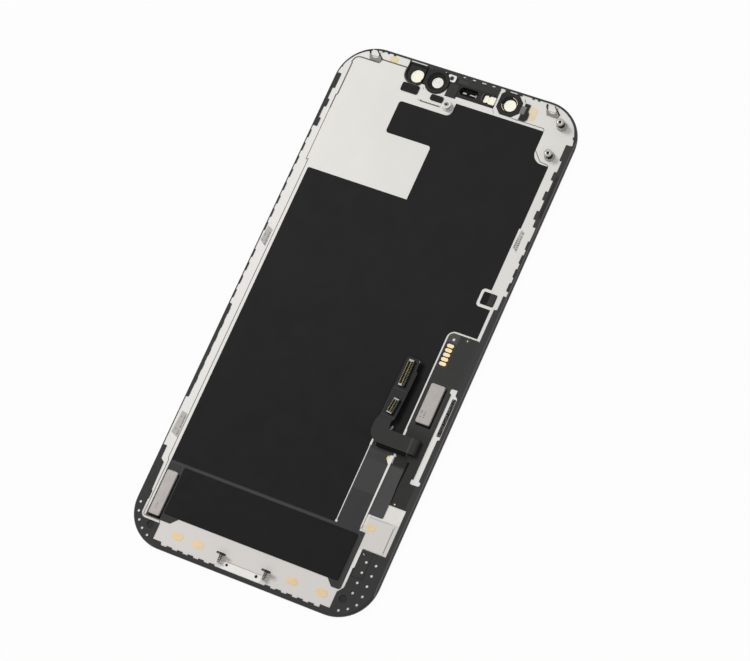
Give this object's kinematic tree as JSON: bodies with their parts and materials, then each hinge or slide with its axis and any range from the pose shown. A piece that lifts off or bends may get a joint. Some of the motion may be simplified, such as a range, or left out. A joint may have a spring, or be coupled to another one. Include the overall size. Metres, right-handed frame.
{
  "type": "phone display assembly",
  "caption": "Phone display assembly lying on its cover glass: steel back plate, graphite sheet, folded flex circuit with sockets, side board, sensor rings and moulded black bezel frame.",
  "frame": {"origin": "middle of the outer face of the cover glass, on which the part lies", "axes": "+X towards the side with the flex tail and side board, +Y towards the sensor end, +Z from the glass to the rear side"},
  "size_m": [0.0688, 0.144, 0.0043],
  "materials": {
    "cover_glass": "polished",
    "border_ink": "gloss",
    "clear_adhesive": "clear",
    "polarizer_film": "gloss",
    "panel_film": "gloss",
    "cushion_foam": "matt",
    "plate_steel": "satin",
    "shield_steel": "satin",
    "graphite": "matt",
    "frame_plastic": "satin",
    "sensor_plastic": "satin",
    "flex_film": "satin",
    "board_film": "matt",
    "tape_black": "matt",
    "cream_pad": "matt",
    "gold_pad": "plated",
    "contact_gold": "plated",
    "connector_plastic": "satin",
    "stiffener_laminate": "satin",
    "lens_glass": "polished",
    "mesh_steel": "dark",
    "post_steel": "bright",
    "foam_black": "matt",
    "label_film": "matt",
    "tan_adhesive": "matt"
  },
  "bodies": {
    "root": {"cover_glass": "cover_glass", "border_mask": "border_ink", "optical_adhesive": "clear_adhesive", "polarizer_film": "polarizer_film", "display_panel": "panel_film", "panel_cushion": "cushion_foam", "back_plate": "plate_steel", "stiffener_frame": "plate_steel", "bezel_frame": "frame_plastic", "graphite_sheet": "graphite", "notch_filler": "sensor_plastic", "projector_carrier": "sensor_plastic", "camera_ring": "sensor_plastic", "infrared_ring": "sensor_plastic", "projector_window": "lens_glass", "camera_window": "lens_glass", "infrared_window": "lens_glass", "flood_windows": "lens_glass", "earpiece_frame": "sensor_plastic", "earpiece_mesh": "mesh_steel", "sensor_film": "tape_black", "sensor_patch": "tape_black", "microphone_tab": "plate_steel", "foam_pads": "foam_black", "cable_block": "connector_plastic", "cable_pad": "plate_steel", "tan_pad": "tan_adhesive", "top_pad": "cream_pad", "screw_posts": "post_steel", "left_latch_clip": "plate_steel", "right_latch_clip": "plate_steel", "main_flex": "flex_film", "driver_pad": "tape_black", "driver_shield": "shield_steel", "side_board": "board_film", "board_shield": "shield_steel", "board_contacts": "gold_pad", "contact_frame": "cream_pad", "touch_strip": "board_film", "slot_insert": "label_film", "square_pad": "graphite", "large_stiffener": "stiffener_laminate", "small_stiffener": "stiffener_laminate", "large_connector": "connector_plastic", "large_connector_contacts": "contact_gold", "small_connector": "connector_plastic", "small_connector_contacts": "contact_gold", "ground_plate": "plate_steel", "ground_pad": "gold_pad", "lower_pads": "gold_pad", "left_screw_bracket": "post_steel", "right_screw_bracket": "post_steel"}
  },
  "joints": []
}
